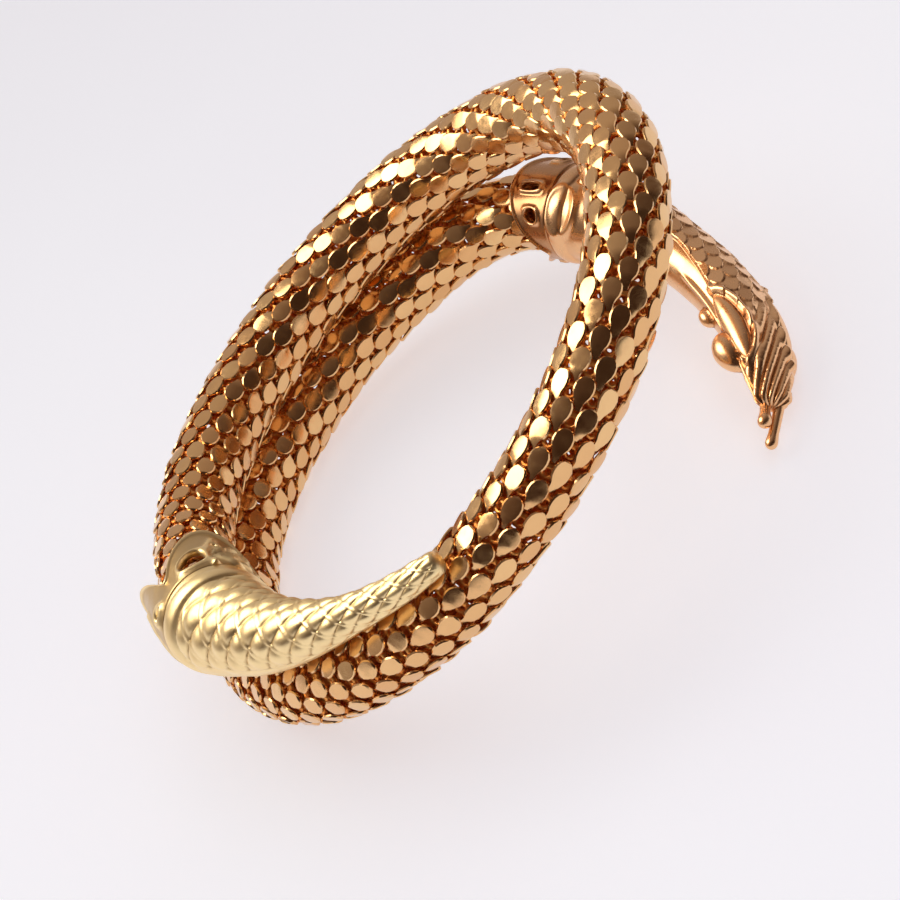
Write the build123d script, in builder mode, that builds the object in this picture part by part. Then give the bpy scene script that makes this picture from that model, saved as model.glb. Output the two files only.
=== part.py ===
from build123d import *
import math
import os

# Snake bracelet lying on its side: a coiled tube of scale mesh with a cast tail and a cast head.
# Millimetres, +Z up. The tail side is uppermost; the bracelet touches the surface with the
# lower turn of the tube and with the head.

# Driving dimensions
coil_radius = 37.5            # centre line of the tube to the middle of the coil
tube_diameter = 10.3          # over the scales
mesh_thickness = 1.0          # scales and the links under them
strand_gap = 0.1              # between turns of the tube that lie side by side
seat_gap = 0.2                # end of the mesh to the seat inside each casting
sleeve_gap = 0.2              # mesh to the inside of each collar
collar_wall = 0.8             # cast openwork over the end of the mesh
rim_height = 0.4              # raised border of the collar's edge and holes
bead_height = 0.45            # round bead between collar and casting
bead_width = 2.2
tail_collar_length = 10.8     # seat to the tip of a lobe
tail_flare = 1.1              # how far the collar stands off the mesh on its outer side
tail_flare_run = 8.0          # past the seat, until the tail is back to its own section
tail_slant = 2.0              # the bead lies this much nearer the tip on the inner side
tail_length = 41.5            # seat to tip
tail_relief = 0.4             # height of the lapped scales
head_collar_length = 6.2
head_flare = 0.3
head_length = 46.6            # seat to snout
head_relief = 0.25            # height of the nape scales and the ridges
hood_step = 0.25              # the scaled back stands this much over the smooth belly
eye_height = 0.8
eye_length = 11.4
lip_height = 0.45
lip_width = 9                 # degrees, half of it
tongue_length = 5.0
tongue_width = 1.4
head_roll = 40                # degrees that the top of the head leans up from straight outward

# Where things lie along the coil: degrees of turn, clockwise seen from above, from the left end
tail_seat_turn = -13.0
head_seat_turn = 503.1
walk_step = 1.0
direction_step = 0.5          # either side, to find the direction of the line
corner_step = 12.0            # between the corners of the tube's path
corner_share = 0.45           # of the shorter run, taken by each rounding
corner_push = 0.27            # corners stand outside the curve, so that the arcs follow it

# Counts
tail_lobes = 3                # of the collar
tail_columns = 36             # facets round the tail
tail_scales_round = 9
tail_rows = 46
head_lobes = 2
head_columns = 48
head_rows = 52
head_scales_round = 16
collar_rows = 8
chord_nodes = 4               # inner nodes of the line where the tongue forks
prong_rows = 6

# Shares
lobe_valley = 0.14            # of the collar's length, left between two lobes
lobe_round = 0.85             # power that rounds the sides of a lobe
corner_pull = 0.35            # of a cell, by which the corners of a hole are drawn in
tip_crowding = 1.2            # rows lie closer together towards the tail's tip
groove_left = 0.2             # of the ridges' height, left in the grooves between them
prong_round = 0.75            # last ring of a prong, over its ball
nape_end = 0.72               # of the head's length, where scales give way to ridges
lip_start = 0.5               # of the head's length
lip_rise = 8                  # full height after an eighth of the head's length

# Route of the whole snake from tail to tongue:
# turn in degrees, radius as a share of coil_radius, height as a share of the strand pitch
ROUTE = [
    (-120, 1.093, 3.416),
    (-90, 1.079, 3.001),
    (-60, 1.072, 2.506),
    (-30, 1.066, 2.075),
    (0, 1.020, 1.735),
    (30, 1.001, 1.498),
    (60, 0.979, 1.533),
    (90, 0.962, 1.816),
    (120, 0.945, 2.275),
    (150, 0.918, 2.786),
    (180, 0.880, 3.182),
    (210, 0.873, 3.238),
    (240, 0.907, 2.996),
    (270, 0.966, 2.510),
    (300, 1.023, 1.782),
    (330, 1.042, 1.034),
    (360, 1.033, 0.534),
    (390, 1.022, 0.453),
    (420, 1.004, 0.518),
    (450, 0.983, 0.792),
    (480, 0.947, 1.165),
    (510, 0.872, 1.121),
    (540, 0.876, 0.666),
    (570, 0.934, 0.357),
    (600, 1.030, 0.146),
    (630, 1.125, -0.127),
]

# Tail: distance from the seat as a share of tail_length, diameter as a share of tube_diameter
TAIL_SECTIONS = [
    (0.00, 1.17),
    (0.10, 1.09),
    (0.18, 1.01),
    (0.28, 0.90),
    (0.43, 0.70),
    (0.56, 0.53),
    (0.67, 0.41),
    (0.79, 0.35),
    (0.91, 0.30),
    (0.98, 0.26),
    (1.00, 0.22),
]

# Head: distance from the seat as a share of head_length, then the half width, the height of
# the back over the middle line and the depth of the belly under it, as shares of tube_diameter
HEAD_SECTIONS = [
    (0.00, 0.580, 0.580, 0.580),
    (0.08, 0.555, 0.555, 0.555),
    (0.20, 0.450, 0.450, 0.450),
    (0.37, 0.360, 0.355, 0.360),
    (0.49, 0.355, 0.345, 0.350),
    (0.585, 0.350, 0.335, 0.335),
    (0.685, 0.350, 0.305, 0.300),
    (0.795, 0.320, 0.260, 0.265),
    (0.89, 0.250, 0.200, 0.210),
    (0.955, 0.180, 0.145, 0.150),
    (1.00, 0.145, 0.110, 0.100),
]

# Prongs of the tongue: side, length as a share of tongue_length, ball as a share of the width,
# lean to the side and drop towards the belly in degrees
PRONGS = [
    (1, 0.60, 1.15, 6, -5),
    (-1, 1.00, 1.05, 14, 15),
]

# Edge of the scaled back: share of head_length, degrees from the back
HOOD_EDGE = [
    (0.00, 44),
    (0.386, 44),
    (0.563, 62),
    (0.695, 82),
    (0.77, 86),
    (1.00, 82),
]

# Domes on both sides of the head: share of head_length, degrees from the back, length as a
# share of eye_length, width over length, height as a share of eye_height
HEAD_DOMES = [
    (0.735, 62, 1.00, 0.30, 1.00),
    (0.812, 101, 0.55, 0.50, 1.95),
    (0.634, 115, 0.28, 0.60, 1.10),
]

# Holes of each lobe: first and last row from the edge, first and last column from the valley
TAIL_HOLES = [
    (3, 4, 6, 7),
    (4, 7, 2, 5),
    (6, 7, 8, 10),
]
HEAD_HOLES = [
    (3, 6, 16, 18),
    (2, 6, 12, 13),
    (4, 6, 4, 7),
]

# Lobed collars: lobes, column of the first valley, holes of each lobe
TAIL_LACE = (tail_lobes, 7, TAIL_HOLES)
HEAD_LACE = (head_lobes, 20, HEAD_HOLES)

tube_radius = tube_diameter / 2
strand_pitch = tube_diameter + strand_gap
half_turn = 180


def between(rows, column, at):
    """Straight-line value of one column of a table at a given first column."""
    for low, high in zip(rows, rows[1:]):
        if at <= high[0]:
            share = (at - low[0]) / (high[0] - low[0])
            return low[column] + max(share, 0) * (high[column] - low[column])
    return rows[-1][column]


def smooth_between(rows, column, at):
    """Smooth value of one column: a cubic through the rows, which are evenly spaced."""
    step = rows[1][0] - rows[0][0]
    place = (at - rows[0][0]) / step
    index = min(max(int(math.floor(place)), 1), len(rows) - 3)
    u = place - index
    a, b, c, d = [rows[index + k][column] for k in (-1, 0, 1, 2)]
    return 0.5 * (
        2 * b
        + (c - a) * u
        + (2 * a - 5 * b + 4 * c - d) * u ** 2
        + (3 * b - a - 3 * c + d) * u ** 3
    )


def route_point(turn):
    """Point of the snake's middle line."""
    angle = math.radians(half_turn - turn)
    radius = coil_radius * smooth_between(ROUTE, 1, turn)
    height = strand_pitch * smooth_between(ROUTE, 2, turn)
    return Vector(radius * math.cos(angle), radius * math.sin(angle), height)


def walk(turn, distance):
    """Turn reached by going a distance along the middle line."""
    step = math.copysign(walk_step, distance)
    left = abs(distance)
    here = route_point(turn)
    while True:
        ahead = route_point(turn + step)
        length = (ahead - here).length
        if length >= left:
            return turn + step * left / length
        left -= length
        turn += step
        here = ahead


def frame_at(turn, roll):
    """Point, outward direction and side direction of the middle line, rolled about it."""
    point = route_point(turn)
    ahead, behind = route_point(turn + direction_step), route_point(turn - direction_step)
    along = (ahead - behind).normalized()
    radial = Vector(point.X, point.Y, 0)
    outward = (radial - along * radial.dot(along)).normalized()
    upward = along.cross(outward)
    if upward.Z < 0:
        upward = -upward
    lean = math.radians(roll)
    back = outward * math.cos(lean) + upward * math.sin(lean)
    side = upward * math.cos(lean) - outward * math.sin(lean)
    return point, back, side


def faceted(triangles):
    """Closed solid of flat faces from triples of points, with its faces turned outward."""
    volume = sum(a.dot(b.cross(c)) for a, b, c in triangles)
    if volume < 0:
        triangles = [(a, c, b) for a, b, c in triangles]
    faces = [Face(Wire.make_polygon(corners, close=True)) for corners in triangles]
    return Solid(Shell(faces))


def quad(a, b, c, d):
    """Two triangles of a four-sided cell."""
    return [(a, b, c), (a, c, d)]


def collar_holes(columns, lace):
    """Cells that are cut through, as first row, last row, first and last column."""
    lobes, valley, lobe_holes = lace
    width = columns // lobes
    holes = []
    for lobe in range(lobes):
        start = valley + lobe * width
        for first, last, left, right in lobe_holes:
            holes.append((first, last, start + left, start + right))
    return holes


def in_hole(row, column, columns, lace):
    """Whether a cell of the collar is cut through."""
    for first, last, left, right in collar_holes(columns, lace):
        if first <= row < last and (column - left) % columns < right - left:
            return True
    return False


def hole_corner(row, column, columns, lace):
    """How far a node moves towards the middle of its hole, in rows and columns."""
    for first, last, left, right in collar_holes(columns, lace):
        offset = (column - left) % columns
        if row in (first, last) and offset in (0, right - left):
            down = corner_pull if row == first else -corner_pull
            across = corner_pull if offset == 0 else -corner_pull
            return down, across
    return 0, 0


def by_hole(row, column, columns, lace):
    """Whether a node lies on the border of a hole."""
    cells = [(row - a, column - b) for a in (0, 1) for b in (0, 1)]
    return any(in_hole(r, c % columns, columns, lace) for r, c in cells)


def lobe_reach(column, columns, lace):
    """Share of the collar's length that it reaches at a column: long at a lobe, short between."""
    lobes, valley, lobe_holes = lace
    width = columns / lobes
    from_middle = abs((column - valley) % width / width * 2 - 1)
    return lobe_valley + (1 - lobe_valley) * (1 - from_middle ** 2) ** lobe_round


def stand_off(flare, angle):
    """How far a casting stands off its round section: most on the outer side of the coil."""
    return flare * (1 + math.cos(angle)) / 2


def collar_nodes(place, columns, length, flare, lace, wall):
    """Rows of nodes from the lobed edge to the seat, on the inside or the outside."""
    rows = []
    for row in range(collar_rows + 1):
        nodes = []
        for column in range(columns):
            down, across = hole_corner(row, column, columns, lace)
            share = (row + down) / collar_rows
            where = column + across
            back = length * lobe_reach(where, columns, lace) * (1 - share)
            angle = math.tau * where / columns
            radius = tube_radius + sleeve_gap + stand_off(flare, angle) + wall
            if wall and (row == 0 or by_hole(row, column, columns, lace)):
                radius += rim_height
            nodes.append(place(-back, angle, radius))
        rows.append(nodes)
    return rows


def casting(place, columns, collar_length, flare, lace, body_rows, end):
    """Triangles of one casting: openwork collar, body and the seat for the mesh."""
    outer = collar_nodes(place, columns, collar_length, flare, lace, collar_wall)
    inner = collar_nodes(place, columns, collar_length, flare, lace, 0)
    triangles = []
    for row in range(collar_rows):
        for column in range(columns):
            beside = (column + 1) % columns
            if in_hole(row, column, columns, lace):
                continue
            triangles += quad(
                outer[row][column], outer[row + 1][column],
                outer[row + 1][beside], outer[row][beside],
            )
            triangles += quad(
                inner[row][column], inner[row][beside],
                inner[row + 1][beside], inner[row + 1][column],
            )
            edges = [
                (row - 1, column, (row, column), (row, beside)),
                (row + 1, column, (row + 1, beside), (row + 1, column)),
                (row, (column - 1) % columns, (row + 1, column), (row, column)),
                (row, beside, (row, beside), (row + 1, beside)),
            ]
            for near_row, near_column, first, second in edges:
                open_side = near_row < 0
                if 0 <= near_row < collar_rows:
                    open_side = in_hole(near_row, near_column, columns, lace)
                if open_side:
                    triangles += quad(
                        outer[first[0]][first[1]], outer[second[0]][second[1]],
                        inner[second[0]][second[1]], inner[first[0]][first[1]],
                    )
    seat = inner[collar_rows]
    middle = place(0, 0, 0)
    for column in range(columns):
        triangles.append((middle, seat[column], seat[(column + 1) % columns]))
    skin = [outer[collar_rows]] + body_rows
    for above, below in zip(skin, skin[1:]):
        for column in range(columns):
            beside = (column + 1) % columns
            triangles += quad(above[column], below[column], below[beside], above[beside])
    return triangles + end(skin[-1])


def past_bead(distance, angle, slant):
    """Distance from the near edge of the bead, which lies aslant round the casting."""
    return distance - slant * (1 - math.cos(angle)) / 2


def bead(past):
    """Height of the round bead next to the collar."""
    share = (past - bead_width / 2) / (bead_width / 2)
    return bead_height * math.sqrt(max(1 - share ** 2, 0))


def scale_height(row, column, step):
    """Lapped diamond scales: nothing in the crossing grooves, most at the free end."""
    first = (row + column) % step / step
    second = (row - column) % step / step
    if first == 0 or second == 0:
        return 0
    return (first + second) / 2


# Mesh body: a hollow tube of scale mesh, wound once and four tenths, swept along short
# straight runs joined by tangent arcs
mesh_first = walk(tail_seat_turn, seat_gap)
mesh_last = walk(head_seat_turn, -seat_gap)
whole_steps = int((mesh_last - mesh_first) // corner_step)
step = (mesh_last - mesh_first) / whole_steps
turns = [mesh_first + step * (k + 0.5) for k in range(whole_steps)]
turns = [mesh_first] + turns + [mesh_last]
on_route = [route_point(turn) for turn in turns]
corners = [on_route[0]]
for before, here, after in zip(on_route, on_route[1:], on_route[2:]):
    weight = (here - before).length / ((here - before).length + (after - here).length)
    chord = before + (after - before) * weight
    corners.append(here + (here - chord) * corner_push)
corners.append(on_route[-1])
radii = []
for before, here, after in zip(corners, corners[1:], corners[2:]):
    shorter = min((here - before).length, (after - here).length)
    bend = math.radians((here - before).get_angle(after - here))
    radii.append(corner_share * shorter / math.tan(bend / 2))
print("tube path radii, mm:", [round(radius, 1) for radius in radii])

with BuildPart() as mesh_body:
    with BuildLine() as mesh_path:
        FilletPolyline(*corners, radius=radii)
    path = mesh_path.wire()
    with BuildSketch(Plane(origin=path @ 0, z_dir=path % 0)):
        Circle(tube_radius)
        Circle(tube_radius - mesh_thickness, mode=Mode.SUBTRACT)
    sweep(path=path)
ring_area = math.pi * (tube_radius ** 2 - (tube_radius - mesh_thickness) ** 2)
print("mesh length", round(path.length, 1), "volume share", mesh_body.part.volume / (ring_area * path.length))


# Tail: one casting with lapped scales, hollow only at the collar
def tail_place(distance, angle, radius):
    """Point round the tail at a distance from the seat towards the tip."""
    point, back, side = frame_at(walk(tail_seat_turn, -distance), 0)
    return point + back * radius * math.cos(angle) + side * radius * math.sin(angle)


def tail_radius(distance):
    return tube_radius * between(TAIL_SECTIONS, 1, distance / tail_length)


tail_body = []
tail_stations = []
for row in range(1, tail_rows + 1):
    tail_stations.append(tail_length * (1 - (1 - row / tail_rows) ** tip_crowding))
for row, distance in enumerate(tail_stations):
    nodes = []
    for column in range(tail_columns):
        angle = math.tau * column / tail_columns
        past = past_bead(distance, angle, tail_slant)
        radius = tail_radius(distance) + bead(past)
        flare_left = max(1 - distance / tail_flare_run, 0)
        radius += stand_off(tail_flare, angle) * flare_left
        if past > bead_width:
            height = scale_height(row, column, tail_columns // tail_scales_round)
            radius += tail_relief * height * tail_radius(distance) / tube_radius
        nodes.append(tail_place(distance, angle, radius))
    tail_body.append(nodes)


def tail_end(ring):
    """Fan that closes the tip."""
    tip = tail_place(tail_length + tail_radius(tail_length), 0, 0)
    pairs = zip(ring, ring[1:] + ring[:1])
    return [(second, first, tip) for first, second in pairs]


with BuildPart() as tail:
    add(faceted(casting(
        tail_place, tail_columns, tail_collar_length, tail_flare, TAIL_LACE, tail_body, tail_end
    )))


# Head: one casting with the neck, lapped nape scales, ridged brow, eyes, lips and forked tongue
def head_place(distance, angle, radius):
    """Point round the head at a distance from the seat towards the snout."""
    point, back, side = frame_at(walk(head_seat_turn, distance), head_roll)
    return point + back * radius * math.cos(angle) + side * radius * math.sin(angle)


def head_radius(distance, angle):
    """Plain section of the head: a half ellipse for the back and one for the belly."""
    share = distance / head_length
    width = tube_diameter * between(HEAD_SECTIONS, 1, share)
    depth = tube_diameter * between(HEAD_SECTIONS, 2 if math.cos(angle) > 0 else 3, share)
    return 1 / math.hypot(math.sin(angle) / width, math.cos(angle) / depth)


def domes(distance, angle):
    """Eyes, cheeks and the small curls behind the jaw."""
    raised = 0
    from_back = abs(math.remainder(angle, math.tau))
    for share, degrees, length, width, height in HEAD_DOMES:
        half = eye_length * length / 2
        along = (distance - share * head_length) / half
        arc = (from_back - math.radians(degrees)) * head_radius(distance, angle)
        across = arc / (half * width)
        raised = max(raised, eye_height * height * math.sqrt(max(1 - along ** 2 - across ** 2, 0)))
    return raised


def head_surface(row, column, distance):
    """Relief of the head over its plain section."""
    angle = math.tau * column / head_columns
    degrees = abs(math.degrees(math.remainder(angle, math.tau)))
    share = distance / head_length
    hood = between(HOOD_EDGE, 1, share)
    dome = domes(distance, angle)
    if dome:
        return dome
    relief = bead(distance)
    scale_columns = head_columns // head_scales_round
    if distance > bead_width and degrees < hood:
        relief += hood_step
        if share < nape_end:
            relief += head_relief * scale_height(row, column, scale_columns)
        else:
            relief += head_relief * (1 if (row - column) % scale_columns else groove_left)
    if share > lip_start:
        risen = min((share - lip_start) * lip_rise, 1)
        relief += lip_height * risen * math.exp(-((degrees - hood) / lip_width) ** 2)
    return relief


def head_end(ring):
    """Snout, split along its middle line, and the two prongs of the tongue."""
    half = head_columns // 2
    top, bottom = ring[0], ring[half]
    line = [top + (bottom - top) * (k / (chord_nodes + 1)) for k in range(1, chord_nodes + 1)]
    loops = {1: ring[:half + 1] + line[::-1], -1: ring[half:] + [top] + line}
    point, back, side = frame_at(walk(head_seat_turn, head_length), head_roll)
    forward = (route_point(walk(head_seat_turn, head_length + 1)) - point).normalized()
    triangles = []
    for hand, length_share, ball, lean, drop in PRONGS:
        loop = loops[hand]
        middle = sum(loop[1:], loop[0]) * (1 / len(loop))
        angles = []
        for node in loop:
            offset = node - middle
            angles.append(math.atan2(offset.dot(side), offset.dot(back)))
        heading = forward + side * math.tan(math.radians(lean)) - back * math.tan(math.radians(drop))
        heading = heading.normalized()
        across = heading.cross(back).normalized() * -1
        upward = heading.cross(across)
        length = tongue_length * length_share
        rings = [loop]
        for k in range(1, prong_rows + 1):
            share = k / prong_rows
            radius = tongue_width / 2 * (1 + (ball - 1) * share)
            if k == prong_rows:
                radius *= prong_round
            centre = middle + heading * length * share
            rings.append([
                centre + upward * radius * math.cos(angle) + across * radius * math.sin(angle)
                for angle in angles
            ])
        count = len(loop)
        for above, below in zip(rings, rings[1:]):
            for k in range(count):
                beside = (k + 1) % count
                triangles += quad(above[k], below[k], below[beside], above[beside])
        tip = middle + heading * (length + tongue_width / 4)
        for k in range(count):
            triangles.append((rings[-1][k], tip, rings[-1][(k + 1) % count]))
    return triangles


head_body = []
for row in range(1, head_rows + 1):
    distance = head_length * row / head_rows
    nodes = []
    for column in range(head_columns):
        angle = math.tau * column / head_columns
        radius = head_radius(distance, angle) + head_surface(row, column, distance)
        nodes.append(head_place(distance, angle, radius))
    head_body.append(nodes)

with BuildPart() as head:
    add(faceted(casting(
        head_place, head_columns, head_collar_length, head_flare, HEAD_LACE, head_body, head_end
    )))

# The bracelet stands with the middle of its outline over the origin and its lowest point at
# height nothing
whole = Compound([mesh_body.part, tail.part, head.part]).bounding_box()
to_origin = Location((-(whole.min.X + whole.max.X) / 2, -(whole.min.Y + whole.max.Y) / 2, -whole.min.Z))
print("moved by", to_origin.position)

os.makedirs("parts", exist_ok=True)
for piece, name in ((mesh_body, "mesh_body"), (tail, "tail"), (head, "head")):
    placed = piece.part.moved(to_origin)
    placed.label = name
    export_step(placed, f"parts/{name}.step")
    box = placed.bounding_box()
    print(name, "valid", placed.is_valid, "volume", round(placed.volume, 1), "size", box.size, "low", round(box.min.Z, 2))
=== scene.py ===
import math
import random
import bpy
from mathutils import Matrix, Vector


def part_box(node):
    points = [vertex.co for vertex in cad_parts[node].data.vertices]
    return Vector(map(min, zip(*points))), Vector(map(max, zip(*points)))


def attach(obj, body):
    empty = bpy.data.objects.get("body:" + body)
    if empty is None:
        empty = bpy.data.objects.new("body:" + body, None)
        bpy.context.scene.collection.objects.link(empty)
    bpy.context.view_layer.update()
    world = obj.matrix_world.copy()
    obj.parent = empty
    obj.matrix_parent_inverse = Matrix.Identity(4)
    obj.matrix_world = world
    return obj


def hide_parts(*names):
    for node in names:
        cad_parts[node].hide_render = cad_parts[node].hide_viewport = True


bl_info = {
    "name": "Snake Bracelet",
    "version": (1, 0, 0),
    "blender": (4, 5, 0),
    "location": "View3D > Sidebar > Bracelet",
    "description": "Dresses a coiled snake bracelet: scale mesh, links, cast tail and cast head",
    "category": "Object",
}

from typing import NamedTuple

import bpy
import numpy as np
from mathutils import Matrix, Vector

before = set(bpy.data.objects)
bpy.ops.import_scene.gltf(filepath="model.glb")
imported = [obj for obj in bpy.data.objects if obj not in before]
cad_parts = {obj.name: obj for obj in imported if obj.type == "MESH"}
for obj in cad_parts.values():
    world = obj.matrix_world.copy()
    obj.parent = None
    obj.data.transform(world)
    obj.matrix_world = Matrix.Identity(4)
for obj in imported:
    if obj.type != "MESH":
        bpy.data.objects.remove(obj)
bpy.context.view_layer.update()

MM = 0.001
TAU = math.tau
MERGE_DISTANCE = 1e-7

# Route of the snake's middle line: turn in degrees, radius as a share of the coil radius,
# height as a share of the strand pitch
ROUTE = [
    (-120, 1.093, 3.416),
    (-90, 1.079, 3.001),
    (-60, 1.072, 2.506),
    (-30, 1.066, 2.075),
    (0, 1.020, 1.735),
    (30, 1.001, 1.498),
    (60, 0.979, 1.533),
    (90, 0.962, 1.816),
    (120, 0.945, 2.275),
    (150, 0.918, 2.786),
    (180, 0.880, 3.182),
    (210, 0.873, 3.238),
    (240, 0.907, 2.996),
    (270, 0.966, 2.510),
    (300, 1.023, 1.782),
    (330, 1.042, 1.034),
    (360, 1.033, 0.534),
    (390, 1.022, 0.453),
    (420, 1.004, 0.518),
    (450, 0.983, 0.792),
    (480, 0.947, 1.165),
    (510, 0.872, 1.121),
    (540, 0.876, 0.666),
    (570, 0.934, 0.357),
    (600, 1.030, 0.146),
    (630, 1.125, -0.127),
]
ROUTE_STEP = 0.5
TAIL_SEAT = -13.0
HEAD_SEAT = 503.1

# Tail: distance from the seat as a share of its length, diameter as a share of the tube's
TAIL_SECTIONS = [
    (0.00, 1.17),
    (0.10, 1.09),
    (0.18, 1.01),
    (0.28, 0.90),
    (0.43, 0.70),
    (0.56, 0.53),
    (0.67, 0.41),
    (0.79, 0.35),
    (0.91, 0.30),
    (0.98, 0.26),
    (1.00, 0.22),
]

# Head: distance from the seat as a share of its length, then half width, height of the back
# and depth of the belly as shares of the tube's diameter
HEAD_SECTIONS = [
    (0.00, 0.580, 0.580, 0.580),
    (0.08, 0.555, 0.555, 0.555),
    (0.20, 0.450, 0.450, 0.450),
    (0.37, 0.360, 0.355, 0.360),
    (0.49, 0.355, 0.345, 0.350),
    (0.585, 0.350, 0.335, 0.335),
    (0.685, 0.350, 0.305, 0.300),
    (0.795, 0.320, 0.260, 0.265),
    (0.89, 0.250, 0.200, 0.210),
    (0.955, 0.180, 0.145, 0.150),
    (1.00, 0.145, 0.110, 0.100),
]

# Edge of the scaled back of the head: millimetres from the seat, degrees from the back
HOOD_EDGE = [
    (0.0, 44),
    (18.0, 44),
    (26.2, 62),
    (32.4, 76),
    (35.9, 78),
    (46.6, 78),
]

# Cheeks and the curls behind the jaw, on the upper and on the lower side: millimetres from the
# seat, degrees from the back, half length, half width and height in millimetres
HEAD_DOMES = [
    (36.8, 105, 3.25, 1.70, 2.30),
    (38.0, -101, 3.20, 1.65, 1.85),
    (29.2, 115, 1.60, 1.00, 1.15),
    (29.5, -115, 1.60, 1.00, 0.90),
]

# Outline of one scale from the neck to the round end: share of its length, share of half its
# width
SCALE_OUTLINE = [
    (0.00, 0.46),
    (0.14, 0.46),
    (0.28, 0.52),
    (0.38, 0.68),
    (0.50, 0.91),
    (0.64, 1.00),
    (0.78, 0.95),
    (0.89, 0.74),
    (0.96, 0.45),
    (1.00, 0.15),
]

# Points across a scale: share of half its width, and how high they stand as a share of the crown
SCALE_ACROSS = [
    (-1.00, -1.6),
    (-0.86, 0.2),
    (0.00, 1.0),
    (0.86, 0.2),
    (1.00, -1.6),
]

# Holes of each lobe of a collar: first and last row from the edge, first and last column from
# the valley between two lobes
TAIL_HOLES = [
    (3, 4, 6, 7),
    (4, 7, 2, 5),
    (6, 7, 8, 10),
]
HEAD_HOLES = [
    (3, 6, 16, 18),
    (2, 6, 12, 13),
    (4, 6, 4, 7),
]

# Prongs of the tongue: side, length, radius of the shank and of the ball in millimetres, lean
# to the side and drop towards the belly in degrees
PRONGS = [
    (1, 3.0, 0.64, 0.88, 6, -5),
    (-1, 5.2, 0.66, 0.78, 10, 12),
]

# Scales: bend of the neck, depth under the outside of the tube, how far the round end lifts, how
# much more where the mesh is pressed together, and spread of the small tilts, in degrees
NECK_ROW = 3
NECK_BEND = math.radians(17)
SCALE_DEPTH = 0.30 * MM
SCALE_LIFT = 4.5
SCALE_LIFT_PRESSED = 14
SCALE_TILT_SPREAD = 1.8
SCALE_TWIST_SPREAD = 2.5
SCALE_LEAN_SPREAD = 4.0
SCALE_SHADES = (0.55, 1.0)
SCALE_EDGE_ANGLE = math.radians(24)

# Wire links: ring and half thickness of its wire, depth under the outside of the tube, how far
# past the middle of a scale, tilt, and spread of the lean in degrees
LINK_RING = 0.70 * MM
LINK_WIRE = 0.40 * MM
LINK_DEPTH = 1.00 * MM
LINK_OFFSET = 2.75 * MM
LINK_TILT = math.radians(18)
LINK_LEAN_SPREAD = 6

# Half of the stretch over which the mesh is measured
STRETCH_HOP = 0.5 * MM

# Round bead at the foot of each casting and the groove beside it, millimetres
BEAD_WIDTH = 2.2
TAIL_BEAD_HEIGHT = 0.5
HEAD_BEAD_HEIGHT = 0.45
GROOVE_WIDTH = 0.35

# Tail, millimetres and degrees: slant of the bead, how far it stands off outward and over what
# length, its diamond scales, and the bare belly
TAIL_SLANT = 2.0
TAIL_FLARE = 1.1
TAIL_FLARE_RUN = 8.0
DIAMOND_PERIOD = 3.2
DIAMONDS_ROUND = 6
BELLY_MIDDLE = math.radians(275)
BELLY_HALF = 80
BELLY_NARROWING = 26
TAIL_ROUND_END = 0.015
TAIL_GRID = (340, 180)
TAIL_CROWDING = 1.12

# Head, millimetres and degrees: scales of the nape, ridges of the crown, where one goes over to
# the other, and the scroll behind the bead
HEAD_FLARE = 0.3
NAPE_ROW = 2.15
NAPE_WIDTH = 28
NAPE_BULGE = 0.75
RIDGE_START = 37.4
RIDGE_SLANT = 9.5
RIDGE_SPACING = 29.0
NOTCH_SPACING = 1.5
TO_RIDGES = (31.5, 36.0)
SCROLL_PLACE = 1.9
SCROLL_DEGREES = 86
HEAD_ROUND_END = 0.03
HEAD_GRID = (360, 216)
HEAD_CROWDING = 1.1

# Upper lip, mouth and lower lip, in degrees from the back
UPPER_LIP = 88
MOUTH = 97
LOWER_LIP = 101

# Eye and the raised rim on its upper side: millimetres, the place from the seat, and degrees from
# the back
EYE_PLACE = 34.4
EYE_DEGREES = 65
EYE_SLANT = 1.5
EYE_HALF_LENGTH = 5.7
EYE_HALF_WIDTH = 1.4
EYE_HEIGHT = 0.80
EYE_FOOT = 0.20
RIM_PLACE = 34.3
RIM_HALF_LENGTH = 6.5
RIM_HALF_WIDTH = 2.1
RIM_HEIGHT = 0.50
RIM_REACH = 0.6

# Collars: rows from the edge to the seat, wall and border in millimetres, depth of the valleys
# and roundness of the lobes, and how far the corners of a hole are pulled in
COLLAR_ROWS = 8
COLLAR_WALL = 0.8
BORDER_HEIGHT = 0.42
LOBE_VALLEY = 0.14
LOBE_ROUND = 0.85
CORNER_PULL = 0.35

# Ornament of the tail's collar: its radius, then leaf spray, scroll and stippled patch, in
# millimetres from the edge of the lobe and degrees from the back
ORNAMENT_RADIUS = 6.2
LEAF_TIP = 3.2
LEAF_DEGREES = 122
LEAF_COUNT = 9.5
LEAF_TURN = 0.6
LEAF_HEIGHT = 0.60
CURL_TIP = 3.4
CURL_DEGREES = 163
STIPPLE_DEGREES = (178, 225)
STIPPLE_TIP = 3.5
STIPPLE_GRAIN = 7.5
STIPPLE_HEIGHT = 0.26

# Tongue: rows and columns of a prong, how far its root is sunk and stands off the middle in
# millimetres, and how its rows crowd towards the tip
PRONG_GRID = (20, 20)
PRONG_SUNK = 1.4
PRONG_APART = 0.85
PRONG_CROWDING = 1.6

# Studio lights: name, place in metres, size, power and colour. The key light shows only in
# reflections, and the fills light only what is matt.
LAMPS = [
    ("key_softbox", (-0.36, 0.32, 0.80), 0.78, 8.5, "#FFFAEC"),
]
FILLS = [
    ("top_fill", (0.0, 0.0, 1.60), 2.20, 5.0, "#FFFFFF"),
    ("front_fill", (0.30, -0.90, 0.95), 1.40, 2.5, "#FFFFFF"),
    ("right_fill", (1.00, 0.10, 0.80), 1.40, 2.0, "#FFFFFF"),
]

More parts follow.
